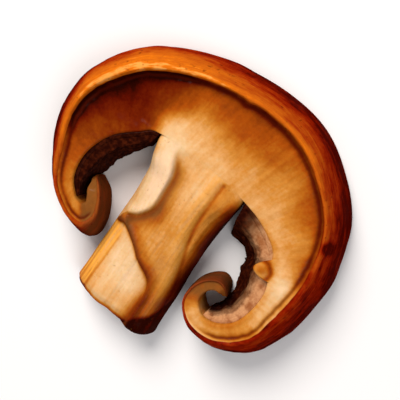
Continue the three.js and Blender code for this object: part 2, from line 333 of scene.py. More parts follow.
# Where the pan browned the cut face: place across, place up, and from 0, cream, to 1, charred.
BROWNING = (
    (1.0, 14.6, 0.6), (-4.2, 13.7, 0.54), (5.5, 14.1, 0.52), (1.0, 11.8, 0.48), (9.3, 11.1, 0.4),
    (0.2, 8.0, 0.2), (-4.2, 8.8, 0.27), (-7.2, 7.3, 0.16), (5.5, 8.8, 0.3), (9.3, 7.3, 0.25),
    (6.6, 5.7, 0.35), (14.9, 8.8, 0.52), (13.7, 5.7, 0.25), (16.7, 3.4, 0.24), (19.3, 3.4, 0.55),
    (18.1, -2.3, 0.02), (17.6, 0.8, 0.1), (18.2, -5.2, 0.08), (20.4, -4.2, 0.5), (17.9, -8.0, 0.22),
    (20.0, -9.9, 0.6), (13.7, -12.9, 0.24), (16.8, -12.0, 0.34), (-9.5, 11.0, 0.64), (-12.5, 9.5, 0.8),
    (-15.9, 6.5, 0.9), (-12.5, 5.0, 0.82), (-18.9, 3.4, 0.82), (-19.6, -0.4, 0.8), (-15.9, 0.4, 0.76),
    (-18.1, -2.3, 0.62), (-17.0, -4.2, 0.54), (-18.5, -6.5, 0.46), (-15.9, -11.0, 0.4), (-12.5, -13.4, 0.36),
    (-7.3, 5.7, 0.02), (-5.8, -0.4, 0.0), (-7.0, -5.0, 0.12), (0.2, 1.2, 0.19), (0.6, -5.3, 0.32),
    (4.0, -0.4, 0.3), (6.3, -0.4, 0.58), (4.2, -9.5, 0.3), (-1.2, -14.9, 0.06), (-0.5, -19.0, 0.2),
    (-5.8, -14.9, 0.22), (-6.2, -19.5, 0.34), (7.4, -12.0, 0.42), (7.0, -19.0, 0.5),
)
BROWNING_SPREAD = 1.9


def browning(x, y):
    """How far the cut face is browned, from 0 to 1."""
    total, weight = 0, 1e-9
    for centre_x, centre_y, amount in BROWNING:
        near = np.exp(-((x - centre_x) ** 2 + (y - centre_y) ** 2) / (2 * BROWNING_SPREAD**2)) + 1e-7
        total, weight = total + near * amount, weight + near
    return total / weight


def under_browning(x, y):
    """The browning of the lower cut face, which lay in the pan: darker and more even."""
    return 0.3 + 0.42 * browning(x, y) + 0.06 * grain(x * 0.3, y * 0.3, 17)


def face_height(plan, x, y):
    """Height of the upper cut face: one surface, so that the cap and the stem meet flush."""
    ridge = np.interp(y, RIDGE_LEVELS, RIDGE_HEIGHTS)
    spread = np.interp(y, RIDGE_SPREAD_LEVELS, RIDGE_SPREADS)
    middle = plan.stem_centre(np.clip(y, plan.foot, plan.shoulder))
    height = FLAT_HEIGHT + (ridge - FLAT_HEIGHT) * hump(x, middle, spread)
    # Both lobes are a little hollow, and all of it is slightly uneven.
    height = height - 0.75 * hump(x, -16.5, 5.5) * hump(y, 4.0, 8.5)
    height = height - 0.3 * hump(x, 12.0, 7) * hump(y, 10.5, 4)
    height = height + 0.06 * grain(x * 0.5, y * 0.5, 3) + 0.035 * grain(x * 1.6, y * 1.6, 4)
    return height


def strand_relief(across, along, seed):
    """Fibres that run along the strands, from -1 to 1."""
    return 0.6 * grain(across * 1.3, along * 0.1, seed) + 0.4 * grain(across * 3.4, along * 0.22, seed + 1)


# ------------------------------------------------------------------ meshes
# How wide each ring that closes an end is, over the end itself.
END_RINGS = (0.93, 0.8, 0.6, 0.38, 0.15)


def band(low, high, around):
    """Quads between two rings of points, which start at the points low and high."""
    step = np.arange(around)
    beyond = (step + 1) % around
    return np.stack([low + step, low + beyond, high + beyond, high + step], axis=1)


def faces_inwards(points, quads):
    """Whether a closed body's quads are turned inside out."""
    corner = points[quads]
    volume = 0
    for a, b in ((1, 2), (2, 3)):
        volume += np.einsum("ij,ij->i", corner[:, 0], np.cross(corner[:, a], corner[:, b])).sum()
    return volume < 0


def set_attribute(mesh, name, values, kind="FLOAT"):
    """Stores a value for each of a mesh's points."""
    field = "vector" if kind == "FLOAT_VECTOR" else "value"
    values = np.asarray(values, bool if kind == "BOOLEAN" else np.float32)
    mesh.attributes.new(name, kind, "POINT").data.foreach_set(field, values.ravel())


def closed_mesh(name, rings, bulge, uv, numbers, vectors=None):
    """A closed body from rings of equal point counts. Both ends close over by shrinking rings.

    rings is (rings, points, 3) in millimetres and bulge how far each end stands out. numbers, from 0 to 1,
    and vectors hold values for each point, which become attributes.
    """
    count, around = rings.shape[:2]
    fields = {key: np.broadcast_to(np.clip(value, 0, 1), (count, around)) for key, value in numbers.items()}
    vectors = vectors or {}
    blocks, block_uv = [rings], [uv]
    block_fields = {key: [value] for key, value in fields.items()}
    block_vectors = {key: [value] for key, value in vectors.items()}
    ends = []
    start = count * around
    for ring, beside, out in ((0, 1, bulge[0]), (count - 1, count - 2, bulge[1])):
        centre = rings[ring].mean(0)
        away = centre - rings[beside].mean(0)
        away = away / max(np.linalg.norm(away), 1e-9)
        chain = [ring * around]
        for keep in END_RINGS:
            shrunk = centre + (rings[ring] - centre) * keep + away * out * math.sqrt(1 - keep**2)
            blocks.append(shrunk[None])
            middle = uv[ring].mean(0)
            block_uv.append((middle + (uv[ring] - middle) * keep + np.array([0, 3 * (1 - keep)]))[None])
            for key, value in fields.items():
                inner = mix(value[ring].mean(), value[ring], keep**4)
                block_fields[key].append(inner[None] if key != "cut_end" else np.ones((1, around)))
            for key, value in vectors.items():
                block_vectors[key].append(value[ring][None])
            chain.append(start)
            start += around
        ends.append(chain)
    points = np.concatenate([block.reshape(-1, 3) for block in blocks])
    quads = [band(row * around, (row + 1) * around, around) for row in range(count - 1)]
    quads += [band(b, a, around) for a, b in zip(ends[0], ends[0][1:])]
    quads += [band(a, b, around) for a, b in zip(ends[1], ends[1][1:])]
    quads = np.concatenate(quads)
    faces = quads.tolist()
    faces.append(list(range(ends[0][-1] + around - 1, ends[0][-1] - 1, -1)))
    faces.append(list(range(ends[1][-1], ends[1][-1] + around)))
    low, high = SOLID_LOW / MM, SOLID_HIGH / MM
    points = np.clip(points, low + 1e-4, high - 1e-4)
    if faces_inwards(points, quads):
        faces = [face[::-1] for face in faces]
    mesh = bpy.data.meshes.new(name)
    mesh.from_pydata(points * MM, [], faces)
    place = np.concatenate([block.reshape(-1, 2) for block in block_uv])
    loop_vertex = np.empty(len(mesh.loops), dtype=np.int32)
    mesh.loops.foreach_get("vertex_index", loop_vertex)
    mesh.uv_layers.new(name="strands").data.foreach_set("uv", place[loop_vertex].ravel())
    for key, parts in block_fields.items():
        set_attribute(mesh, key, np.concatenate([part.ravel() for part in parts]))
    for key, parts in block_vectors.items():
        set_attribute(mesh, key, np.concatenate([part.reshape(-1, 3) for part in parts]), "FLOAT_VECTOR")
    mesh.validate()
    mesh.shade_smooth()
    return mesh


def place_piece(name, mesh, material, node):
    """Puts a finished mesh in the scene in place of its CAD node."""
    piece = bpy.data.objects.new(name, mesh)
    bpy.context.scene.collection.objects.link(piece)
    mesh.materials.clear()
    mesh.materials.append(material)
    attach(piece, "root")
    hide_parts(node)
    return piece


# ------------------------------------------------------------------ the cap
# Sizes are in millimetres. The margin's spans are counted from the crown.
SKIN_DOMING = 2.2
CREST_DROP = 0.22
CREST_INSET = 0.3
CREST_SWELL = 0.12
RIM_SLOPE = 1.3
THIN_MARGIN = 1.5
THICK_FLESH = (2.5, 5)
MARGIN_SPANS, MARGIN_SINK = (7, 10), 0.9
TIP_SPANS, TIP_SINK = (11.6, 13), 1.6
TIP_BULGE = 0.75
NICK_SHARE = 0.49
EDGE_ROUNDING, LEAST_ROUNDING, FOOT_ROUNDING = 0.45, 0.03, 0.3
UNDER_HOLLOW = 0.3
KNOB = (15.0, -0.6)
KNOB_HALF = 1.65
KNOB_REACH, KNOB_FLARE = 2.3, 0.6
KNOB_RING = 1.55
BURNT_SPOT = (20.3, 8.0)
CURL_BROWNING = 0.72
# How dark the skin is along the ribbon, by spans from the crown, negative to the left: partly browning,
# partly painted light, lightest left of the crown, where the skin faces the key light.
SEAR_AND_LIGHTING_SPANS = (-13, -9, -8, -7, -6, -5, -4, -3.2, -2, -1, -0.3, 0.5, 1.2, 2, 3, 4, 5, 6, 7, 8.5, 13)
SEAR_AND_LIGHTING_LEVELS = (
    0.78, 0.78, 0.78, 0.8, 0.76, 0.62, 0.42, 0.18, 0.13, 0.27, 0.46, 0.5, 0.56, 0.68, 0.76, 0.78, 0.78,
    0.8, 0.84, 0.78, 0.78,
)


class Ribs:
    """The cap's ribs, a row for each. A place along a rib is counted from the skin to the flesh edge."""

    def __init__(self, plan, sizes):
        share = plan.even_shares(sizes.rib_count)
        flesh = plan.flesh_edge(share)
        self.plan, self.seed = plan, sizes.seed
        self.skin = plan.skin_edge(share)
        self.length = np.hypot(*(flesh - self.skin).T)[:, None]
        self.inward = (flesh - self.skin) / self.length
        self.span = (share * SPANS - CROWN_SPAN)[:, None]
        self.skin_arc = np.interp(share, plan.table, plan.skin_arc)[:, None]
        self.flesh_arc = np.interp(share, plan.table, plan.flesh_arc)[:, None]
        self.lean = sizes.skin_lean / MM * smooth(THIN_MARGIN, plan.thickness, self.length)
        self.crest = self.crest_height()
        self.lip = self.lip_width()
        beside_stem = smooth(0.85, 1.5, np.abs(self.span))
        self.rounding = np.minimum(EDGE_ROUNDING, 0.15 * self.length) * beside_stem + LEAST_ROUNDING
        knob_arc = self.flesh_arc[np.hypot(flesh[:, 0] - KNOB[0], flesh[:, 1] - KNOB[1]).argmin()]
        knob_round = np.sqrt(np.clip(1 - ((self.flesh_arc - knob_arc) / KNOB_HALF) ** 2, 0, 1))
        self.knob_reach = KNOB_REACH * knob_round + KNOB_FLARE * hump(self.flesh_arc, knob_arc, 2.1)

    def crest_height(self):
        """Height of the rim's crest, which sinks towards the rolled margins and their tips."""
        crest = self.plan.thickness - CREST_DROP - 0.22 * grain(self.skin_arc * 0.14, 0, self.seed)
        crest = crest - 0.06 * grain(self.skin_arc * 0.7, 5, self.seed)
        from_crown = np.abs(self.span)
        crest = crest - MARGIN_SINK * smooth(*MARGIN_SPANS, from_crown)
        return crest - TIP_SINK * smooth(*TIP_SPANS, from_crown) ** 2

    def lip_width(self):
        """How far the rim comes in over the cut face, with a nick beside the crown."""
        lip = CREST_INSET * np.minimum(1, self.length / 4)
        lip = lip + np.minimum(RIM_SLOPE, 0.3 * (self.length - self.lean))
        wander = 0.11 * grain(self.skin_arc * 0.22, 9, self.seed)
        wander = wander + 0.04 * grain(self.skin_arc * 0.9, 4, self.seed)
        nick_arc = np.interp(NICK_SHARE, self.plan.table, self.plan.skin_arc)
        return lip * (1 + wander) + 0.5 * hump(self.skin_arc, nick_arc, 0.9)

    def spot(self, across):
        """Where a place along each rib lies, seen from above."""
        return [self.skin[:, axis, None] + self.inward[:, axis, None] * across for axis in (0, 1)]

    def face(self, across):
        """Height of the upper cut face, with its fibres, its swell beside the right gills and the knob."""
        x, y = self.spot(across)
        from_edge = self.length - across
        fibre = strand_relief(self.flesh_arc, from_edge, self.seed) * smooth(0.3, 3, from_edge)
        height = face_height(self.plan, x, y) + 0.09 * fibre
        swell = hump(from_edge, 2.4, 1.5) * smooth(2.0, 4.0, self.span) * (1 - smooth(7.5, 9, self.span))
        knob = hump(np.hypot(x - KNOB[0], y - KNOB[1]), 0, 1.2)
        return np.minimum(height, self.crest - 0.15) + 0.25 * swell + 0.5 * knob


def cap_section(ribs, top_steps):
    """Every rib's section: up the skin, over the rim and the cut face, down to the gills and back below.

    Returns places along the ribs, heights, how far each point is skin, and how near the rim's foot it is,
    which weights the painted shade there.
    """
    length, seed = ribs.length, ribs.seed
    columns = []

    def add(across, height, skin, rim_foot_shade=0):
        shape = np.broadcast_shapes(length.shape, np.shape(across), np.shape(height))
        columns.append([np.broadcast_to(value, shape) for value in (across, height, skin, rim_foot_shade)])

    # The skin's wall, dented and wrinkled.
    wall = np.linspace(0.03, 1, 30)[None] ** 0.9
    dents = 0.16 * (1 + grain(ribs.skin_arc * 0.22, wall * 1.5, seed + 3))
    wrinkles = 0.05 * (1 + rough(ribs.skin_arc * 0.55, wall * 9, seed + 6, 3)) * smooth(0, 0.2, wall)
    uneven = dents + wrinkles * smooth(2, 5, length)
    add(ribs.lean * wall**SKIN_DOMING + uneven, ribs.crest * wall, 1)
    # The rim, which slopes in and down to the cut face.
    step = np.linspace(0, 1, 17)[None, 1:]
    across = ribs.lean + uneven[:, -1:] * (1 - step) + ribs.lip * step
    crest = ribs.crest + CREST_SWELL * np.sin(math.pi * np.minimum(step * 2, 1))
    height = mix(crest, ribs.face(across), smooth(0.3, 0.97, step))
    add(across, height, 1 - smooth(0.42, 0.72, step), hump(step, 1.0, 0.26))
    # The upper cut face, with a crease at the rim's foot.
    step = np.linspace(0, 1, top_steps + 1)[None, 1:]
    across = mix(ribs.lean + ribs.lip, length - ribs.rounding, step) + ribs.knob_reach * smooth(0.55, 1, step)
    beyond = across - ribs.lean - ribs.lip
    crease = 0.12 * hump(beyond, 0.1, 0.4) * smooth(3, 5, length)
    add(across, ribs.face(across) - crease, 0, hump(beyond, 0, 0.5))
    # The flesh edge, where the gills stand, under the knob.
    edge = ribs.face(length - ribs.rounding + ribs.knob_reach)
    turn = np.linspace(0, math.pi / 2, 6)[None, 1:]
    height = edge - ribs.rounding * (1 - np.cos(turn))
    add(length + ribs.knob_reach - ribs.rounding * (1 - np.sin(turn)), height, 0)
    step = np.linspace(1, 0, 14)[None, 1:]
    height = mix(FOOT_ROUNDING, edge - ribs.rounding, step)
    add(length + ribs.knob_reach * smooth(0.93, 1, step), height, 0)
    turn = turn[:, :4:2]
    add(length - FOOT_ROUNDING * (1 - np.cos(turn)), FOOT_ROUNDING * (1 - np.sin(turn)), 0)
    # The lower cut face, a little hollow, with some painted shade along its edge under the skin.
    step = np.linspace(1, 0, 26)[None]
    under = UNDER_HOLLOW * np.sin(math.pi * step) ** 0.5 * smooth(2, 5, length)
    under = under + 0.05 * (1 + grain(ribs.flesh_arc, step * 9, 7))
    under = under * smooth(0, 0.1, step) * smooth(0, 0.1, 1 - step)
    add(mix(0.2, length - FOOT_ROUNDING, step), under, 0.25 * (step < 0.12))
    return [np.concatenate(parts, axis=1) for parts in zip(*columns)]


def cap_sear_and_lighting(ribs, x, y, height):
    """How dark the skin is: browned, with painted shade darkest at its foot by the floor, and a painted
    highlight, the least dark, on the crest left of the crown.
    """
    span, up_share = ribs.span, height / ribs.crest
    # The levels are partly browning, partly painted light: lighter where the skin faces the key light, darker
    # on the far sides. Low on the wall is painted shade by the floor, more on the left; the crest gets a
    # painted highlight.
    sear = np.interp(span, SEAR_AND_LIGHTING_SPANS, SEAR_AND_LIGHTING_LEVELS) + 0.56 * (1 - smooth(0.25, 0.95, up_share))
    sear = sear + 0.38 * (1 - smooth(0.6, 1.0, up_share)) * smooth(-2.2, -4.2, span)
    sear = sear - 0.24 * smooth(0.94, 1.0, up_share) * (1 - smooth(1.5, 4, span))
    return sear + 0.8 * hump(x, BURNT_SPOT[0], 0.9) * hump(y, BURNT_SPOT[1], 0.75)


def cap_toast_and_shade(ribs, x, y, across, height, rim_foot_shade, curl):
    """How dark the flesh is: browned, and darkest under the rim, most of all in the left lobe, where the
    darkening is painted shade of the rim as well as browning.
    """
    span, from_edge, thick = ribs.span, ribs.length - across, smooth(*THICK_FLESH, ribs.length)
    # Painted shade of the rim with some browning: darker just inside the rim, most on the upper left, and
    # darker at the rim's foot.
    under_rim = np.exp(-np.maximum(across - ribs.lean - ribs.lip, 0) / 1.5) * thick
    rim_shade_and_browning = mix(0.24, 0.12, smooth(-2, 1, span)) * mix(1, 0.2, smooth(-3.6, -5.6, span))
    toast = browning(x, y) + rim_shade_and_browning * under_rim + 0.2 * rim_foot_shade * thick * (height > 3)
    toast = mix(under_browning(x, y), toast, smooth(0.4, 3.5, height))
    cream = hump(from_edge, 2.6, 1.3) * smooth(2.6, 4.2, span) * (1 - smooth(6.5, 8.2, span))
    beside_gills = smooth(1.2, 0.3, from_edge) * smooth(1.2, 2.0, span) * (1 - smooth(6.5, 8, span))
    toast = toast - 0.2 * cream * (height > 4) + 0.1 * beside_gills
    off_x, off_y = x - KNOB[0], y - KNOB[1]
    off = np.hypot(off_x, off_y)
    wobble = 0.3 * grain(np.arctan2(off_y, off_x) * 1.1, 2.0, ribs.seed)
    ring = hump(off, KNOB_RING + wobble, 0.4) + 0.6 * hump(off, 0, 1.0)
    return mix(toast, CURL_BROWNING, 0.85 * curl) + 0.42 * ring * (height > 5)


def cap_mesh(plan, sizes):
    ribs = Ribs(plan, sizes)
    across, height, skin, rim_foot_shade = cap_section(ribs, sizes.top_steps)
    x, y = ribs.spot(across)
    curl = smooth(7.6, 9.2, np.abs(ribs.span))
    fields = {
        "skin": skin, "toast": cap_toast_and_shade(ribs, x, y, across, height, rim_foot_shade, curl),
        "sear": cap_sear_and_lighting(ribs, x, y, height), "curl": curl,
        "shade": rim_foot_shade * smooth(*THICK_FLESH, ribs.length), "cut_end": 0,
    }
    uv = np.stack(np.broadcast_arrays(ribs.flesh_arc, ribs.length - across), axis=-1)
    skin_place = np.stack(np.broadcast_arrays(ribs.skin_arc, height + across, 0), axis=-1)
    rings = np.stack([x, y, height], axis=-1)
    return closed_mesh("cap", rings, (TIP_BULGE, TIP_BULGE), uv, fields, {"skin_place": skin_place})


# ------------------------------------------------------------------ the stem
# The section is a superellipse, whose power grows from the log's to the cap's towards the cap.
LOG_ROUNDING, CAP_ROUNDING = 2.6, 14
MERGE_START = 0.72
ARCH_HEIGHT = 7.5
UNDER_SWELL = 0.25
UNDER_STEPS = 42
LAST_RING = 0.9985
SEAM_OVERLAP = 0.03
STRIP_EDGE = -4.2
STRIP_SLANT, STRIP_MIDDLE = 0.05, -15


class StemMarks:
    """How far each point of the stem's back lies from its fold, its tear, its strip and its burn."""

    def __init__(self, x, y):
        self.fold, fold_share = path_distance(x, y, FOLD_LINE)
        self.open_fold = smooth(0, 0.18, fold_share) * (1 - smooth(0.86, 1, fold_share))
        self.tear, self.tear_share = path_distance(x, y, TEAR_LINE)
        self.strip, _ = path_distance(x, y, STRIP_LINE)
        self.char, _ = path_distance(x, y, CHAR_LINE)
        self.left_edge = x + STRIP_SLANT * (y - STRIP_MIDDLE)
        self.left_strip = smooth(-4.0, -4.7, self.left_edge) * smooth(-9.5, -11, y)


def stem_relief(marks, sizes, x, y, strand, along):
    """Height of the stem's back over a plain log, with its fold, its torn panel and its fibres."""
    fold, tear, strip = marks.fold, marks.tear, marks.strip
    # The line runs down the stem, so its left is the stem's right.
    bank = np.where(fold > 0, np.exp(-fold / 1.5), np.exp(-((fold / 0.45) ** 2)))
    relief = marks.open_fold * (0.3 * hump(fold, -0.9, 0.75) - sizes.groove_depth / MM * bank)
    panel = smooth(-0.12, 0.22, -tear) * smooth(0.0, 0.12, marks.tear_share)
    panel = panel * mix(0.55, 1, smooth(-6.9, -5.2, x))
    relief = relief - sizes.panel_depth / MM * panel * mix(1, 0.45, smooth(-12, -21, y))
    relief = relief + 0.28 * hump(tear, 0.45, 0.5) * smooth(0.05, 0.3, marks.tear_share)
    relief = relief - 0.3 * hump(strip, 0, 0.55) + 0.15 * hump(strip, -1.3, 0.8)
    fibres = strand_relief(strand, along, sizes.seed)
    furrows = grain(strand * 0.55, along * 0.05, sizes.seed + 9)
    calm = smooth(0.0, 4, along) * 0.6 + 0.4
    return relief + (0.12 * fibres + 0.14 * furrows) * calm


def stem_sections(plan, sizes, up):
    """Each ring's places across, from -1 to 1, how high its arch stands there, and what lies below."""
    power = mix(LOG_ROUNDING, CAP_ROUNDING, smooth(MERGE_START, 1, up) ** 2)[:, 0]
    halves = plan.stem_half(mix(plan.foot, plan.shoulder, up[:, 0]))
    dense = np.sin(math.pi / 2 * np.linspace(-1, 1, 1201))
    steps = np.linspace(0, 1, sizes.arc_steps + 1)
    across, rise = [], []
    for ring_power, half in zip(power, halves):
        arch = np.maximum(1 - np.abs(dense) ** ring_power, 0) ** (1 / ring_power)
        arc = travelled(np.stack([dense * half, arch * ARCH_HEIGHT], axis=1))
        across.append(np.interp(steps * arc[-1], arc, dense))
        rise.append(np.interp(steps * arc[-1], arc, arch))
    across, rise = np.array(across), np.array(rise)
    across[:, 0], across[:, -1] = -1, 1
    rise[:, 0], rise[:, -1] = 0, 0
    under = np.broadcast_to(np.linspace(1, -1, UNDER_STEPS)[1:-1], (len(up), UNDER_STEPS - 2))
    below = np.concatenate([np.zeros(rise.shape), np.ones(under.shape)], axis=1)
    across = np.concatenate([across, under], axis=1)
    rise = np.concatenate([rise, np.zeros(under.shape)], axis=1)
    return across, rise, below


def stem_toast_and_shade(marks, x, y, across, rise, below, along, up):
    """How dark the stem is: browned along its strip and at its foot, darker down its sides, partly as painted
    shade, and painted shade along its fold and tear.
    """
    fold, tear, strip, open_fold = marks.fold, marks.tear, marks.strip, marks.open_fold
    edge = smooth(0.72, 0.98, np.abs(across)) * (rise > 0)
    # Darker towards the sides, partly browning, partly painted shade, most on the right, away from the key
    # light.
    toast = browning(x, y) + 0.42 * edge * smooth(0, 3, along) * np.where(across > 0, 1, 0.3)
    # Painted shade in the groove beside the fold, and a little painted highlight on the flap beside it.
    toast = toast + open_fold * (0.42 * hump(fold, 0.3, 0.55) + 0.2 * hump(fold, 1.2, 1.0))
    toast = toast - 0.1 * open_fold * hump(fold, -1.2, 0.9)
    # Painted shadow along the tear, where the flesh above overhangs the panel.
    torn = smooth(0.06, 0.2, marks.tear_share) * (1 - 0.55 * smooth(0.5, 0.75, marks.tear_share))
    toast = toast + torn * (0.6 * hump(tear, 0.2, 0.55) + 0.2 * hump(tear, 1.1, 0.8))
    toast = toast + 0.2 * hump(strip, 0, 0.3) * smooth(-21, -6, y) + 0.05 * hump(strip, 0.2, 0.7)
    toast = toast + 0.18 * hump(marks.left_edge, STRIP_EDGE, 0.25) * smooth(-10, -12, y)
    burn = smooth(0.35, -0.9, marks.char) * (across > 0)
    toast = toast + 0.06 * marks.left_strip + 0.6 * burn + 0.4 * (1 - smooth(0.0, 0.028, up))
    toast = np.where(below > 0, under_browning(x, y), toast)
    low_side = (below == 0) & (rise < 0.5)
    return np.where(low_side, toast + 0.2 * (1 - rise / 0.5) * smooth(0, 2, along), toast)


def stem_mesh(plan, sizes):
    up = np.append(np.linspace(0, 1, sizes.ring_count), 1)[:, None]
    up[-2] = LAST_RING
    across, rise, below = stem_sections(plan, sizes, up)
    level = mix(plan.foot, plan.shoulder, up)
    half = plan.stem_half(level) - 0.35 * (1 - smooth(0, 0.02, up))
    x = plan.stem_centre(level) + half * across
    neck = plan.stem_centre(plan.shoulder) + plan.stem_half(plan.shoulder) * across
    strand = plan.strand(neck) + np.sign(across) * (1 - rise) * 6 * (1 - below)
    foot = plan.foot + 0.02 + 0.3 * (1 + grain(across * 3, 0, sizes.seed)) * (1 - below)
    seam = plan.junction(x) + SEAM_OVERLAP
    y = mix(foot, seam, up)
    along = seam - y
    wander = 0.18 * grain(y * 0.22, np.sign(across), sizes.seed + 2)
    x = x + wander * np.abs(across) ** 3 * smooth(0, 3, along)
    marks = StemMarks(x, y)
    relief = stem_relief(marks, sizes, x, y, strand, along)
    relief = relief * smooth(0.15, 0.7, rise) * smooth(0.1, 0.9, along)
    height = (face_height(plan, x, y) - 0.5 * (1 - smooth(0, 0.05, up))) * rise + relief
    under = UNDER_SWELL * (1 - np.abs(across) ** 4) * smooth(0, 0.05, up)
    height = np.where(below > 0, under, np.maximum(height, 0))
    height = np.minimum(height, plan.thickness - 0.02)
    toast = stem_toast_and_shade(marks, x, y, across, rise, below, along, up)
    back, fold, tear, open_fold = below == 0, marks.fold, marks.tear, marks.open_fold
    # The olive along the fold and the tear is partly the flesh's tint, partly painted shade.
    olive = open_fold * hump(fold, 0.6, 0.9) + 0.8 * hump(tear, 0.5, 0.6) * hump(marks.tear_share, 0.3, 0.22)
    glow = (1.3 * marks.left_strip + 0.5 * hump(marks.strip, -1.2, 1.2)) * (1 - smooth(0.4, 0.7, toast))
    # Painted shade in the fold's groove and painted shadow along the tear.
    shade = 0.9 * open_fold * hump(fold, 0.1, 0.4) + 0.8 * hump(tear, 0.0, 0.25)
    fields = {"toast": toast, "olive": olive * back, "glow": glow * back, "shade": shade * back, "cut_end": 0}
    uv = np.stack(np.broadcast_arrays(strand, -along), axis=-1)
    return closed_mesh("stem", np.stack([x, y, height], axis=-1), (0.0, 0.0), uv, fields)


# ------------------------------------------------------------------ the gills
ROOT_SINK = 0.06
FREE_GAP = 0.3
GILL_LOW = 0.55
GILL_HIGH = 6.25
GILL_START = {-1: 0.95, 1: 1.3}
GILL_TIP = 0.25
GILL_SPANS = (1.0, 7.15)
GILL_STEPS = 110
STEM_CLEARANCE = 0.12
PLATE_STEPS, PLATE_EDGE = 11, 0.35
BACKING_STEPS, BACKING_EDGE, BACKING_DEPTH = 4, 0.94, 0.7


def evened(values, width, settle=np.mean):
    """A row of values or points, each one settled among its neighbours up to width away."""
    padded = np.pad(values, [(width, width)] + [(0, 0)] * (values.ndim - 1), mode="edge")
    return settle([padded[i:i + len(values)] for i in range(2 * width + 1)], axis=0)


def wall_share(start, reach, walls):
    """The share of each reach at which it first meets a wall."""
    share = np.ones(len(start))
    for wall in walls:
        a, step = wall[:-1], np.diff(wall, axis=0)
        offset = a[None] - start[:, None]
        turn = reach[:, None, 0] * step[None, :, 1] - reach[:, None, 1] * step[None, :, 0]
        turn = np.where(np.abs(turn) < 1e-9, np.nan, turn)
        along = (offset[..., 0] * step[None, :, 1] - offset[..., 1] * step[None, :, 0]) / turn
        beside = (offset[..., 0] * reach[:, None, 1] - offset[..., 1] * reach[:, None, 0]) / turn
        meets = (along > 0.04) & (along <= 1) & (beside >= 0) & (beside <= 1)
        share = np.minimum(share, np.where(meets, along, 1).min(1))
    return share


def gill_line(plan, side, depth):
    """Roots of a stack of gills, the ways they point, and how far they reach."""
    spans = np.linspace(*GILL_SPANS, 800)
    share = (CROWN_SPAN + side * spans) / SPANS

    def frame_at(places):
        root = plan.flesh_edge(places)
        tangent = plan.flesh_edge(places + 2e-4) - plan.flesh_edge(places - 2e-4)
        tangent = tangent / np.hypot(*tangent.T)[:, None]
        # Beside the stem the gills hang down along it.
        down = (1 - smooth(1.0, 3.2, np.abs(places * SPANS - CROWN_SPAN)))[:, None]
        square = np.stack([tangent[:, 1], -tangent[:, 0]], axis=1)
        way = mix(square, np.array([0.08 * side, -1.0]), 0.85 * down)
        return root, way / np.hypot(*way.T)[:, None]

    root, inward = frame_at(share)
    tip = root + inward * GILL_START[side] * depth
    clear = np.minimum(*(side * (spot[:, 0] - plan.stem_side(spot[:, 1], side)) for spot in (root, tip)))
    first = spans[np.argmax(clear > STEM_CLEARANCE)]
    along = np.linspace(0, 1, GILL_STEPS + 1)
    root, inward = frame_at((CROWN_SPAN + side * mix(first, GILL_SPANS[1], along)) / SPANS)
    wanted = depth * mix(GILL_START[side], 1, smooth(0, 0.16, along))
    wanted = wanted * mix(1, GILL_TIP, smooth(0.72, 1, along))
    shares = np.linspace(0, 1, 400)
    outline = np.concatenate([plan.skin_edge(shares), plan.flesh_edge(shares)[::-1], plan.skin_edge([0])])
    levels = np.linspace(plan.foot, plan.shoulder, 60)
    stems = [np.stack([plan.stem_side(levels, one), levels], axis=1) for one in (-1, 1)]
    far = inward * wanted[:, None] * 2
    reach = np.minimum(wanted, wall_share(root, far, [outline, *stems]) * wanted * 2 - FREE_GAP)
    for width, settle in ((4, np.min), (7, np.mean), (5, np.mean)):
        reach = evened(reach, width, settle)
    # Where the roots curve in, the ways cross further out, so the free edge is evened out.
    tip = root + inward * np.maximum(reach, 0.3)[:, None]
    for width in (6, 4):
        tip = evened(tip, width)
    reach = np.hypot(*(tip - root).T)
    inward = (tip - root) / reach[:, None]
    return root - inward * ROOT_SINK, inward, reach


def flat_body(root, inward, reach, low, high, shares, thin):
    """A closed band that stands out from a line of roots. Returns its points, quads and depth shares."""
    across = np.concatenate([shares, shares[::-1]])
    taper = (high - low) / 2 * (1 - thin) * shares
    height = np.concatenate([high - taper, (low + taper)[::-1]])
    points = root[:, None] + inward[:, None] * (reach[:, None] * across)[..., None]
    rings = np.concatenate([points, np.broadcast_to(height, points.shape[:2])[..., None]], axis=2)
    around = len(across)
    quads = [band(row * around, (row + 1) * around, around) for row in range(len(root) - 1)]
    i = np.arange(len(shares) - 1)
    for row, flip in ((0, True), ((len(root) - 1) * around, False)):
        lid = row + np.stack([i, i + 1, around - 2 - i, around - 1 - i], axis=1)
        quads.append(lid[:, ::-1] if flip else lid)
    quads = np.concatenate(quads)
    points = rings.reshape(-1, 3)
    if faces_inwards(points, quads):
        quads = quads[:, ::-1]
    return points, quads, np.tile(across, len(root))


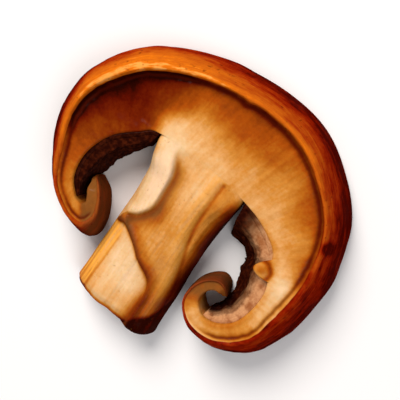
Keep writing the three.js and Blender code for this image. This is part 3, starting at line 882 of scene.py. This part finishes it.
def gill_tree():
    """Stacks copies of one gill, shortens them upwards, and lets each wander in its own way."""
    tree = bpy.data.node_groups.new("gill_stack", "GeometryNodeTree")
    tree.interface.new_socket("Geometry", in_out="OUTPUT", socket_type="NodeSocketGeometry")
    keys = {}
    for name, kind in (
        ("Geometry", "Geometry"), ("Count", "Int"), ("Pitch", "Float"), ("Top share", "Float"),
        ("Waviness", "Float"), ("Seed", "Int"), ("Material", "Material"),
    ):
        socket = tree.interface.new_socket(name, in_out="INPUT", socket_type="NodeSocket" + kind)
        keys[name] = socket.identifier
    given = tree.nodes.new("NodeGroupInput")
    result = tree.nodes.new("NodeGroupOutput")

    def node(kind, settings=None, inputs=None):
        made = tree.nodes.new(kind)
        for name, value in (settings or {}).items():
            setattr(made, name, value)
        for key, value in (inputs or {}).items():
            if isinstance(value, bpy.types.NodeSocket):
                tree.links.new(value, made.inputs[key])
            else:
                made.inputs[key].default_value = value
        return made

    def maths(operation, a, b):
        return node("ShaderNodeMath", {"operation": operation}, {0: a, 1: b}).outputs[0]

    def named(kind, name):
        return node("GeometryNodeInputNamedAttribute", {"data_type": kind}, {"Name": name}).outputs[0]

    parts = node("GeometryNodeSeparateGeometry", {"domain": "POINT"}, {
        "Geometry": given.outputs["Geometry"], "Selection": named("BOOLEAN", "backing"),
    })
    step = node("ShaderNodeCombineXYZ", None, {"Z": given.outputs["Pitch"]}).outputs[0]
    line = node("GeometryNodeMeshLine", {"mode": "OFFSET"}, {"Count": given.outputs["Count"], "Offset": step})
    last = maths("SUBTRACT", given.outputs["Count"], 1.0)
    up = maths("DIVIDE", node("GeometryNodeInputIndex").outputs[0], last)
    counted = node("GeometryNodeStoreNamedAttribute", {"data_type": "FLOAT", "domain": "POINT"}, {
        "Geometry": line.outputs[0], "Name": "stack", "Value": up,
    })
    copies = node("GeometryNodeInstanceOnPoints", None, {
        "Points": counted.outputs[0], "Instance": parts.outputs["Inverted"],
    })
    real = node("GeometryNodeRealizeInstances", None, {"Geometry": copies.outputs[0]})
    stack, depth, along = named("FLOAT", "stack"), named("FLOAT", "depth"), named("FLOAT", "along")
    ripple_place = node("ShaderNodeCombineXYZ", None, {
        "X": maths("MULTIPLY", along, 15.0), "Y": maths("MULTIPLY", depth, 1.3),
        "Z": maths("MULTIPLY", stack, 37.0),
    }).outputs[0]
    noise_place = node("ShaderNodeVectorMath", {"operation": "ADD"}, {
        0: ripple_place, 1: node("ShaderNodeCombineXYZ", None, {"X": given.outputs["Seed"]}).outputs[0],
    }).outputs[0]
    ripple = node("ShaderNodeTexNoise", {"noise_dimensions": "3D"}, {"Vector": noise_place, "Scale": 1.0})
    uneven = maths("SUBTRACT", ripple.outputs[0], 0.5)
    shorten = maths("SUBTRACT", given.outputs["Top share"], 1.0)
    shrink = maths("MULTIPLY", maths("MULTIPLY", shorten, stack), depth)
    shrink = maths("ADD", shrink, maths("MULTIPLY", maths("MULTIPLY", uneven, depth), 0.24))
    pull = node("ShaderNodeVectorMath", {"operation": "SCALE"}, {
        0: named("FLOAT_VECTOR", "reach"), "Scale": shrink,
    })
    wander = maths("MULTIPLY", uneven, given.outputs["Waviness"])
    lift = maths("MULTIPLY", wander, maths("MULTIPLY", depth, 2.0))
    shift = node("ShaderNodeVectorMath", {"operation": "ADD"}, {
        0: pull.outputs[0], 1: node("ShaderNodeCombineXYZ", None, {"Z": lift}).outputs[0],
    })
    moved = node("GeometryNodeSetPosition", None, {"Geometry": real.outputs[0], "Offset": shift.outputs[0]})
    both = tree.nodes.new("GeometryNodeJoinGeometry")
    tree.links.new(parts.outputs["Selection"], both.inputs[0])
    tree.links.new(moved.outputs[0], both.inputs[0])
    flat = node("GeometryNodeRealizeInstances", None, {"Geometry": both.outputs[0]})
    done = node("GeometryNodeSetMaterial", None, {
        "Geometry": flat.outputs[0], "Material": given.outputs["Material"],
    })
    tree.links.new(done.outputs[0], result.inputs[0])
    return tree, keys


def gill_mesh(plan, sizes, side, name, material):
    depth, top_share = sizes.right_depth / MM, sizes.right_top_share
    if side < 0:
        depth, top_share = sizes.left_depth / MM, sizes.left_top_share
    root, inward, reach = gill_line(plan, side, depth)
    thickness = sizes.thickness / MM
    shares = np.linspace(0, 1, PLATE_STEPS)
    plate = flat_body(root, inward, reach, GILL_LOW, GILL_LOW + thickness, shares, PLATE_EDGE)
    shares, short = np.linspace(0, 1, BACKING_STEPS), np.minimum(BACKING_DEPTH, 0.5 * reach)
    backing = flat_body(root, inward, short, GILL_LOW - 0.1, GILL_HIGH + 0.2, shares, BACKING_EDGE)
    points = np.concatenate([plate[0], backing[0]])
    quads = np.concatenate([plate[1], backing[1] + len(plate[0])])
    mesh = bpy.data.meshes.new(name)
    mesh.from_pydata(points * MM, [], quads.tolist())
    around = len(plate[2]) // len(root)
    ways = np.repeat(inward * reach[:, None], around, axis=0)
    ways = np.concatenate([ways, np.zeros((len(backing[0]), 2))])
    places = np.linspace(0, 1, len(root))
    along = [np.repeat(places, around), np.repeat(places, len(backing[0]) // len(root))]
    set_attribute(mesh, "depth", np.concatenate([plate[2], np.zeros(len(backing[0]))]))
    set_attribute(mesh, "along", np.concatenate(along))
    # 1 on the right gills, whose upper gills get painted light; 0 on the left gills, which stay dark, partly
    # as painted shade.
    set_attribute(mesh, "bright", np.full(len(points), 1.0 if side > 0 else 0.0))
    set_attribute(mesh, "backing", np.arange(len(points)) >= len(plate[0]), "BOOLEAN")
    flat_ways = np.concatenate([ways * MM, np.zeros((len(points), 1))], axis=1)
    set_attribute(mesh, "reach", flat_ways, "FLOAT_VECTOR")
    seedling = bpy.data.objects.new(name + "_plan", mesh)
    bpy.context.scene.collection.objects.link(seedling)
    tree, keys = gill_tree()
    modifier = seedling.modifiers.new("Gills", "NODES")
    modifier.node_group = tree
    pitch = (GILL_HIGH - GILL_LOW - thickness) / (sizes.count - 1)
    for key, value in (
        ("Count", sizes.count), ("Pitch", pitch * MM), ("Top share", top_share), ("Waviness", sizes.waviness),
        ("Seed", sizes.seed + side), ("Material", material),
    ):
        modifier[keys[key]] = value
    depsgraph = bpy.context.evaluated_depsgraph_get()
    made = bpy.data.meshes.new_from_object(seedling.evaluated_get(depsgraph))
    bpy.data.objects.remove(seedling)
    made.name = name
    made.shade_smooth()
    backing = np.empty(len(made.vertices), dtype=bool)
    made.attributes["backing"].data.foreach_get("value", backing)
    stack = np.empty(len(made.vertices), dtype=np.float32)
    made.attributes["stack"].data.foreach_get("value", stack)
    made.attributes["stack"].data.foreach_set("value", np.where(backing, 1, stack).astype(np.float32))
    return made


# ------------------------------------------------------------------ shader maths
class Wire:
    """A shader value that Python expressions work on."""

    def __init__(self, paint, socket):
        self.paint = paint
        self.socket = socket

    def _maths(self, operation, a, b):
        return self.paint.node("ShaderNodeMath", {"operation": operation}, {0: a, 1: b})

    def __add__(self, other):
        return self._maths("ADD", self, other)

    def __radd__(self, other):
        return self._maths("ADD", other, self)

    def __sub__(self, other):
        return self._maths("SUBTRACT", self, other)

    def __rsub__(self, other):
        return self._maths("SUBTRACT", other, self)

    def __mul__(self, other):
        return self._maths("MULTIPLY", self, other)

    def __rmul__(self, other):
        return self._maths("MULTIPLY", other, self)


class Paint:
    """Builds the nodes of one material."""

    def __init__(self, name):
        self.material = bpy.data.materials.new(name)
        self.material.use_nodes = True
        self.tree = self.material.node_tree
        self.tree.nodes.clear()

    def node(self, kind, settings=None, inputs=None, output=0):
        """A node of a type, with its settings set first, then its sockets' values or links."""
        made = self.tree.nodes.new(kind)
        for name, value in (settings or {}).items():
            if name == "stops":
                self._set_stops(made.color_ramp, value)
            else:
                setattr(made, name, value)
        for key, value in (inputs or {}).items():
            if isinstance(value, Wire):
                self.tree.links.new(value.socket, made.inputs[key])
            else:
                made.inputs[key].default_value = value
        return Wire(self, made.outputs[output])

    @staticmethod
    def _set_stops(ramp, stops):
        while len(ramp.elements) < len(stops):
            ramp.elements.new(0.5)
        for element, (place, colour) in zip(ramp.elements, stops):
            element.position = place
            element.color = (*colour, 1)

    def attribute(self, name, output="Fac"):
        return self.node("ShaderNodeAttribute", {"attribute_name": name}, None, output)

    def noise(self, place, scale, detail, roughness):
        return self.node("ShaderNodeTexNoise", {"normalize": True}, {
            "Vector": place, "Scale": scale, "Detail": detail, "Roughness": roughness,
        })

    def stretched(self, place, scale):
        return self.node("ShaderNodeVectorMath", {"operation": "MULTIPLY"}, {0: place, 1: scale})

    def between(self, value, low, high):
        """0 at low and 1 at high."""
        return self.node("ShaderNodeMapRange", {"interpolation_type": "SMOOTHSTEP"}, {
            "Value": value, "From Min": low, "From Max": high,
        })

    def blend(self, share, a, b):
        """Colour a, turning to b as share goes to 1."""
        a, b = (value if isinstance(value, Wire) else (*value, 1) for value in (a, b))
        return self.node("ShaderNodeMix", {"data_type": "RGBA"}, {0: share, 6: a, 7: b}, 2)

    def ramp(self, value, stops):
        return self.node("ShaderNodeValToRGB", {"stops": stops}, {"Fac": value})

    def bump(self, height, distance, strength):
        return self.node("ShaderNodeBump", None, {
            "Height": height, "Distance": distance, "Strength": strength,
        })

    def finish(self, inputs):
        surface = self.node("ShaderNodeBsdfPrincipled", None, inputs)
        result = self.tree.nodes.new("ShaderNodeOutputMaterial")
        self.tree.links.new(surface.socket, result.inputs["Surface"])
        return self.material


# ------------------------------------------------------------------ colours and finishes
FLESH_STOPS = (
    (0.0, (0.76, 0.5, 0.3)), (0.1, (0.68, 0.43, 0.215)), (0.22, (0.64, 0.32, 0.11)),
    (0.34, (0.525, 0.2, 0.03)), (0.46, (0.41, 0.115, 0.008)), (0.56, (0.33, 0.06, 0.003)),
    (0.68, (0.205, 0.034, 0.002)), (0.8, (0.135, 0.012, 0.001)), (0.9, (0.085, 0.004, 0.0006)),
    (1.0, (0.024, 0.002, 0.0005)),
)
# The first, tan stop gives the painted highlight on the crest.
SKIN_STOPS = (
    (0.0, (0.7, 0.27, 0.05)), (0.09, (0.6, 0.135, 0.004)), (0.22, (0.5, 0.105, 0.005)),
    (0.42, (0.39, 0.07, 0.004)), (0.62, (0.29, 0.026, 0.002)), (0.8, (0.19, 0.007, 0.0006)),
    (1.0, (0.055, 0.0016, 0.0003)),
)
# The last colour here is painted shade, for the crease at the rim's foot and the cap's lower edge.
CURLED_SKIN, SKIN_SPECK, CAP_CREASE_SHADE = (0.15, 0.05, 0.012), (0.06, 0.004, 0.001), (0.085, 0.006, 0.001)
# The first colour here is painted shade, for the fold's groove and the tear.
STEM_CREASE_SHADE, STEM_PORE = (0.16, 0.03, 0.003), (0.3, 0.11, 0.02)
DARK_GILL_GRAIN, PALE_GILL_STREAK = (0.06, 0.009, 0.002), (0.3, 0.1, 0.032)
# What the cap and the stem share: fried flesh lets a little light through and shines only where it is oily.
FLESH_FINISH = {
    "Coat Roughness": 0.16, "Specular IOR Level": 0.0, "Subsurface Weight": 0.12,
    "Subsurface Radius": (1.0, 0.45, 0.2), "Subsurface Scale": 0.9 * MM,
}
FLESH_BUMP = (0.3 * MM, 0.7)


class FinishColours(bpy.types.PropertyGroup):
    """Colours of the fried slice."""

    glow: FloatVectorProperty(
        name="Oily glow", description="Where the oil turned the flesh orange", subtype="COLOR",
        default=(0.84, 0.36, 0.05), min=0, max=1,
    )
    # On the stem's fold and tear the olive is partly painted shade.
    olive: FloatVectorProperty(
        name="Olive", description="The grey-olive of the curls and the fold", subtype="COLOR",
        default=(0.2, 0.1, 0.022), min=0, max=1,
    )
    # The dark gills are partly the gills' own colour, partly painted shade; the pale ones are partly painted
    # light.
    gill_dark: FloatVectorProperty(
        name="Dark gills", description="The deep gills", subtype="COLOR", default=(0.016, 0.002, 0.0007),
        min=0, max=1,
    )
    gill_pale: FloatVectorProperty(
        name="Pale gills", description="The upper gills of the right side", subtype="COLOR",
        default=(0.56, 0.27, 0.12), min=0, max=1,
    )


def flesh_tone(paint, strands, place):
    """The browning and painted shade of the cut face with its fibres, the fibres, and the fine grain."""
    # On a cut end the fibres are seen end on.
    cut_end = paint.attribute("cut_end")
    fibre = paint.noise(paint.stretched(strands, (1.15, 0.13, 1)), 1.0, 3.0, 0.5) * (1 - cut_end)
    fibre = fibre + paint.noise(place, 1100.0, 3.0, 0.6) * cut_end
    patch = paint.noise(place, 260.0, 3.0, 0.55)
    grain_fine = paint.noise(place, 1900.0, 3.0, 0.6)
    tone = paint.attribute("toast") + 0.19 * (fibre - 0.5) + 0.28 * (patch - 0.5) + 0.14 * (grain_fine - 0.5)
    return tone, fibre, patch, grain_fine


def cap_finish(colours):
    paint = Paint("cap")
    strands = paint.node("ShaderNodeUVMap", {"uv_map": "strands"})
    place = paint.node("ShaderNodeTexCoord", None, None, "Object")
    skin_place = paint.attribute("skin_place", "Vector")
    tone, fibre, patch, grain_fine = flesh_tone(paint, strands, place)
    flesh = paint.ramp(tone, FLESH_STOPS)
    olive = paint.attribute("curl") * paint.between(patch, 0.2, 0.55)
    flesh = paint.blend(0.5 * olive, flesh, tuple(colours.olive))
    streak = paint.noise(paint.stretched(skin_place, (0.16, 0.55, 1)), 1.0, 4.0, 0.55)
    line = paint.noise(paint.stretched(skin_place, (0.3, 3.2, 1)), 1.0, 3.0, 0.6)
    mottle = paint.noise(place, 900.0, 4.0, 0.65)
    sear = paint.attribute("sear") + 0.8 * (streak - 0.5) + 0.5 * (line - 0.5) + 0.32 * (mottle - 0.5)
    skin = paint.ramp(sear, SKIN_STOPS)
    skin = paint.blend(0.55 * paint.attribute("curl"), skin, CURLED_SKIN)
    speck = paint.between(paint.noise(place, 1250.0, 2.0, 0.5), 0.63, 0.74)
    skin = paint.blend(0.55 * speck, skin, SKIN_SPECK)
    is_skin = paint.between(paint.attribute("skin") + 0.3 * (mottle - 0.5), 0.35, 0.65)
    colour = paint.blend(is_skin, flesh, skin)
    # Painted shade at the rim's foot and along the lower edge under the skin.
    crease = paint.attribute("shade") * (0.75 + 0.5 * (patch - 0.5))
    colour = paint.blend(paint.between(crease, 0.3, 1.0), colour, CAP_CREASE_SHADE)
    wet = paint.between(patch, 0.42, 0.66)
    roughness = 0.5 - 0.14 * wet - 0.1 * is_skin + 0.16 * (grain_fine - 0.5)
    face = 1 - is_skin
    height = face * (0.2 * fibre + 0.25 * grain_fine) + is_skin * (0.5 * line + 0.35 * mottle + 0.5 * streak)
    oil = (0.01 + 0.14 * wet) * (1 - 0.9 * paint.attribute("toast")) * (1 - 0.85 * is_skin)
    return paint.finish({
        "Base Color": colour, "Roughness": roughness, "Coat Weight": oil,
        "Normal": paint.bump(height, *FLESH_BUMP), **FLESH_FINISH,
    })


def stem_finish(colours):
    paint = Paint("stem")
    strands = paint.node("ShaderNodeUVMap", {"uv_map": "strands"})
    place = paint.node("ShaderNodeTexCoord", None, None, "Object")
    tone, fibre, patch, grain_fine = flesh_tone(paint, strands, place)
    colour = paint.ramp(tone, FLESH_STOPS)
    glow = paint.attribute("glow") * paint.between(fibre, 0.25, 0.7)
    colour = paint.blend(0.85 * glow, colour, tuple(colours.glow))
    olive = paint.attribute("olive") * (0.55 + 0.6 * (patch - 0.5))
    colour = paint.blend(0.7 * olive, colour, tuple(colours.olive))
    # Painted shade in the fold's groove and along the tear.
    crease = paint.attribute("shade") * (0.8 + 0.5 * (fibre - 0.5))
    colour = paint.blend(0.75 * crease, colour, STEM_CREASE_SHADE)
    pore = paint.between(paint.noise(place, 2100.0, 2.0, 0.5), 0.66, 0.76)
    colour = paint.blend(0.3 * pore, colour, STEM_PORE)
    wet = paint.between(patch, 0.42, 0.66)
    height = 0.35 * fibre + 0.25 * grain_fine - 0.2 * pore
    roughness = 0.5 - 0.16 * wet + 0.16 * (grain_fine - 0.5)
    oil = (0.04 + 0.18 * wet) * (1 - 0.9 * paint.attribute("toast"))
    return paint.finish({
        "Base Color": colour, "Roughness": roughness, "Coat Weight": oil,
        "Normal": paint.bump(height, *FLESH_BUMP), **FLESH_FINISH,
    })


def gill_finish(colours):
    paint = Paint("gills")
    place = paint.node("ShaderNodeTexCoord", None, None, "Object")
    stack, depth = paint.attribute("stack"), paint.attribute("depth")
    grain_fine = paint.noise(place, 1500.0, 4.0, 0.6)
    streak = paint.noise(paint.stretched(place, (700.0, 700.0, 120.0)), 1.0, 3.0, 0.6)
    # The right side's upper gills are painted pale, partly their own cut faces, partly painted light; the
    # lower gills, the free edges and the whole left side stay dark, partly the gills' own colour, partly
    # painted shade.
    pale_and_lit = paint.between(stack + 0.25 * (streak - 0.5), 0.58, 0.94) * paint.attribute("bright")
    pale_and_lit = pale_and_lit * paint.between(paint.attribute("along"), 0.02, 0.16)
    pale_and_lit = pale_and_lit * (1 - 0.6 * paint.between(depth + 0.5 * (streak - 0.5), 0.65, 1.05))
    dark = paint.blend(paint.between(grain_fine, 0.4, 0.75), tuple(colours.gill_dark), DARK_GILL_GRAIN)
    light = paint.blend(paint.between(streak, 0.35, 0.7), tuple(colours.gill_pale), PALE_GILL_STREAK)
    colour = paint.blend(pale_and_lit, dark, light)
    return paint.finish({
        "Base Color": colour, "Roughness": 0.62 + 0.2 * (grain_fine - 0.5), "Coat Weight": 0.06 * grain_fine,
        "Coat Roughness": 0.3, "Normal": paint.bump(0.6 * streak + 0.4 * grain_fine, 0.15 * MM, 0.6),
        "Specular IOR Level": 0.0,
    })


def floor_finish(colours):
    paint = Paint("floor")
    place = paint.node("ShaderNodeTexCoord", None, None, "Object")
    cloud = paint.noise(place, 9.0, 2.0, 0.5)
    colour = paint.blend(cloud, tuple(colours.floor_low), tuple(colours.floor_high))
    return paint.finish({"Base Color": colour, "Roughness": 0.55, "Specular IOR Level": 0.3})


# ------------------------------------------------------------------ the stage
class StageSizes(bpy.types.PropertyGroup):
    """Camera, light and floor."""

    tilt_up: FloatProperty(
        name="Tilt towards the crown",
        description="How far the camera leans over from straight above, towards +Y",
        default=math.radians(11), unit="ROTATION",
    )
    tilt_side: FloatProperty(
        name="Tilt to the right", description="The same towards +X", default=math.radians(4), unit="ROTATION",
    )
    turn: FloatProperty(
        name="Turn", description="How far the crown lies round to the right of the picture's up",
        default=math.radians(39.7), unit="ROTATION",
    )
    lens: FloatProperty(
        name="Lens", description="Focal length", default=95, min=20, subtype="DISTANCE_CAMERA"
    )
    fill: FloatProperty(name="Fill", description="Share of the frame that the slice takes", default=0.78)
    key_energy: FloatProperty(name="Key light", description="Power of the soft key light", default=0.32)
    fill_energy: FloatProperty(name="Fill light", description="Power of the weak fill light", default=0.14)
    sky: FloatProperty(name="Sky", description="Strength of the even light all round", default=0.35)
    floor_low: FloatVectorProperty(
        name="Floor, darker", description="Colour of the pale floor", subtype="COLOR",
        default=(0.8, 0.765, 0.75),
    )
    floor_high: FloatVectorProperty(
        name="Floor, lighter", description="Colour of the pale floor", subtype="COLOR",
        default=(0.85, 0.82, 0.81),
    )


FLOOR_REACH = 1.5
SKY_COLOUR = (0.97, 0.975, 1.0, 1)
# Power for a light property of 1.
LIGHT_UNIT = 9
KEY_WIDTH, KEY_COLOUR = 0.3, (1.0, 0.975, 0.94)
FILL_WIDTH, FILL_COLOUR = 0.45, (0.96, 0.98, 1.0)


def aim(thing, place, towards, up):
    """Turns a camera or a lamp at place to look along -Z at towards."""
    back = (place - towards).normalized()
    right = up.cross(back).normalized()
    turned = Matrix((right, back.cross(right), back)).transposed().to_4x4()
    thing.matrix_world = Matrix.Translation(place) @ turned


def area_light(name, place, towards, size, energy, colour):
    light = bpy.data.lights.new(name, "AREA")
    light.shape, light.size, light.energy, light.color = "DISK", size, energy, colour
    lamp = bpy.data.objects.new(name, light)
    bpy.context.scene.collection.objects.link(lamp)
    aim(lamp, place, towards, Vector((0.1, 0.2, 1)))


# ------------------------------------------------------------------ operators
class MUSHROOM_OT_cap(bpy.types.Operator):
    """Builds the cap, a ribbon of flesh under its skin with rolled margins."""

    bl_idname = "mushroom.cap"
    bl_label = "Build Cap"

    def execute(self, context):
        scene = context.scene
        mesh = cap_mesh(Plan(), scene.cap_sizes)
        place_piece("Cap", mesh, cap_finish(scene.finish_colours), "cap")
        return {"FINISHED"}


class MUSHROOM_OT_stem(bpy.types.Operator):
    """Builds the stem, with its fold and torn panel."""

    bl_idname = "mushroom.stem"
    bl_label = "Build Stem"

    def execute(self, context):
        scene = context.scene
        mesh = stem_mesh(Plan(), scene.stem_sizes)
        place_piece("Stem", mesh, stem_finish(scene.finish_colours), "stem")
        return {"FINISHED"}


class MUSHROOM_OT_gills(bpy.types.Operator):
    """Builds the stack of gills on each side of the stem."""

    bl_idname = "mushroom.gills"
    bl_label = "Build Gills"

    def execute(self, context):
        scene = context.scene
        plan, material = Plan(), gill_finish(scene.finish_colours)
        for side, name, node in ((-1, "Gills_left", "gills_left"), (1, "Gills_right", "gills_right")):
            mesh = gill_mesh(plan, scene.gill_sizes, side, name, material)
            place_piece(name, mesh, material, node)
        return {"FINISHED"}


class MUSHROOM_OT_stage(bpy.types.Operator):
    """Sets the camera, the soft light and the pale floor."""

    bl_idname = "mushroom.stage"
    bl_label = "Set Stage"

    def execute(self, context):
        scene = context.scene
        sizes = scene.stage_sizes
        back = Vector((math.sin(sizes.tilt_side), math.sin(sizes.tilt_up), 0))
        back.z = math.sqrt(1 - back.length_squared)
        up = Vector((-math.sin(sizes.turn), math.cos(sizes.turn), 0))
        right = up.cross(back).normalized()
        up = back.cross(right)
        outline = [vertex.co for node in ("cap", "stem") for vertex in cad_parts[node].data.vertices]
        spans = [[point.dot(axis) for point in outline] for axis in (right, up, back)]
        middle = [(min(span) + max(span)) / 2 for span in spans]
        target = right * middle[0] + up * middle[1] + back * middle[2]
        size = max(max(span) - min(span) for span in spans[:2])
        camera = bpy.data.cameras.new("Camera")
        camera.lens, camera.clip_start, camera.clip_end = sizes.lens, 0.001, 10
        distance = size / sizes.fill * sizes.lens / camera.sensor_width
        eye = bpy.data.objects.new("Camera", camera)
        scene.collection.objects.link(eye)
        aim(eye, target + back * distance, target, up)
        scene.camera = eye
        key = target + up * 0.34 + Vector((0, 0, 0.36)) - right * 0.08
        area_light("Key", key, target, KEY_WIDTH, sizes.key_energy * LIGHT_UNIT, KEY_COLOUR)
        fill = target - up * 0.3 + Vector((0, 0, 0.45)) + right * 0.25
        area_light("Fill", fill, target, FILL_WIDTH, sizes.fill_energy * LIGHT_UNIT, FILL_COLOUR)
        world = bpy.data.worlds.new("Sky")
        world.use_nodes = True
        background = world.node_tree.nodes["Background"]
        background.inputs["Color"].default_value = SKY_COLOUR
        background.inputs["Strength"].default_value = sizes.sky
        scene.world = world
        scene.view_settings.view_transform = "Standard"
        mesh = bpy.data.meshes.new("floor")
        corners = [(x * FLOOR_REACH, y * FLOOR_REACH, 0) for x, y in ((-1, -1), (1, -1), (1, 1), (-1, 1))]
        mesh.from_pydata(corners, [], [(0, 1, 2, 3)])
        mesh.materials.append(floor_finish(sizes))
        floor = bpy.data.objects.new("Floor", mesh)
        scene.collection.objects.link(floor)
        floor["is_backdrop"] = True
        return {"FINISHED"}


OPERATORS = (MUSHROOM_OT_stage, MUSHROOM_OT_cap, MUSHROOM_OT_stem, MUSHROOM_OT_gills)
GROUPS = {
    "slice_sizes": SliceSizes, "cap_sizes": CapSizes, "stem_sizes": StemSizes, "gill_sizes": GillSizes,
    "finish_colours": FinishColours, "stage_sizes": StageSizes,
}


class MUSHROOM_PT_panel(bpy.types.Panel):
    """Lists the builders and the sizes."""

    bl_idname = "MUSHROOM_PT_panel"
    bl_label = "Fried mushroom slice"
    bl_space_type = "VIEW_3D"
    bl_region_type = "UI"
    bl_category = "Mushroom"

    def draw(self, context):
        for operator in OPERATORS:
            self.layout.operator(operator.bl_idname)
        for name, group in GROUPS.items():
            box = self.layout.box()
            box.label(text=group.__doc__)
            for key in group.__annotations__:
                box.prop(getattr(context.scene, name), key)


CLASSES = (*GROUPS.values(), *OPERATORS, MUSHROOM_PT_panel)


def register():
    for one in CLASSES:
        bpy.utils.register_class(one)
    for name, group in GROUPS.items():
        setattr(bpy.types.Scene, name, PointerProperty(type=group))


def unregister():
    for name in GROUPS:
        delattr(bpy.types.Scene, name)
    for one in reversed(CLASSES):
        bpy.utils.unregister_class(one)


def main():
    register()
    for operator in OPERATORS:
        group, name = operator.bl_idname.split(".")
        getattr(getattr(bpy.ops, group), name)()


if __name__ == "__main__":
    main()
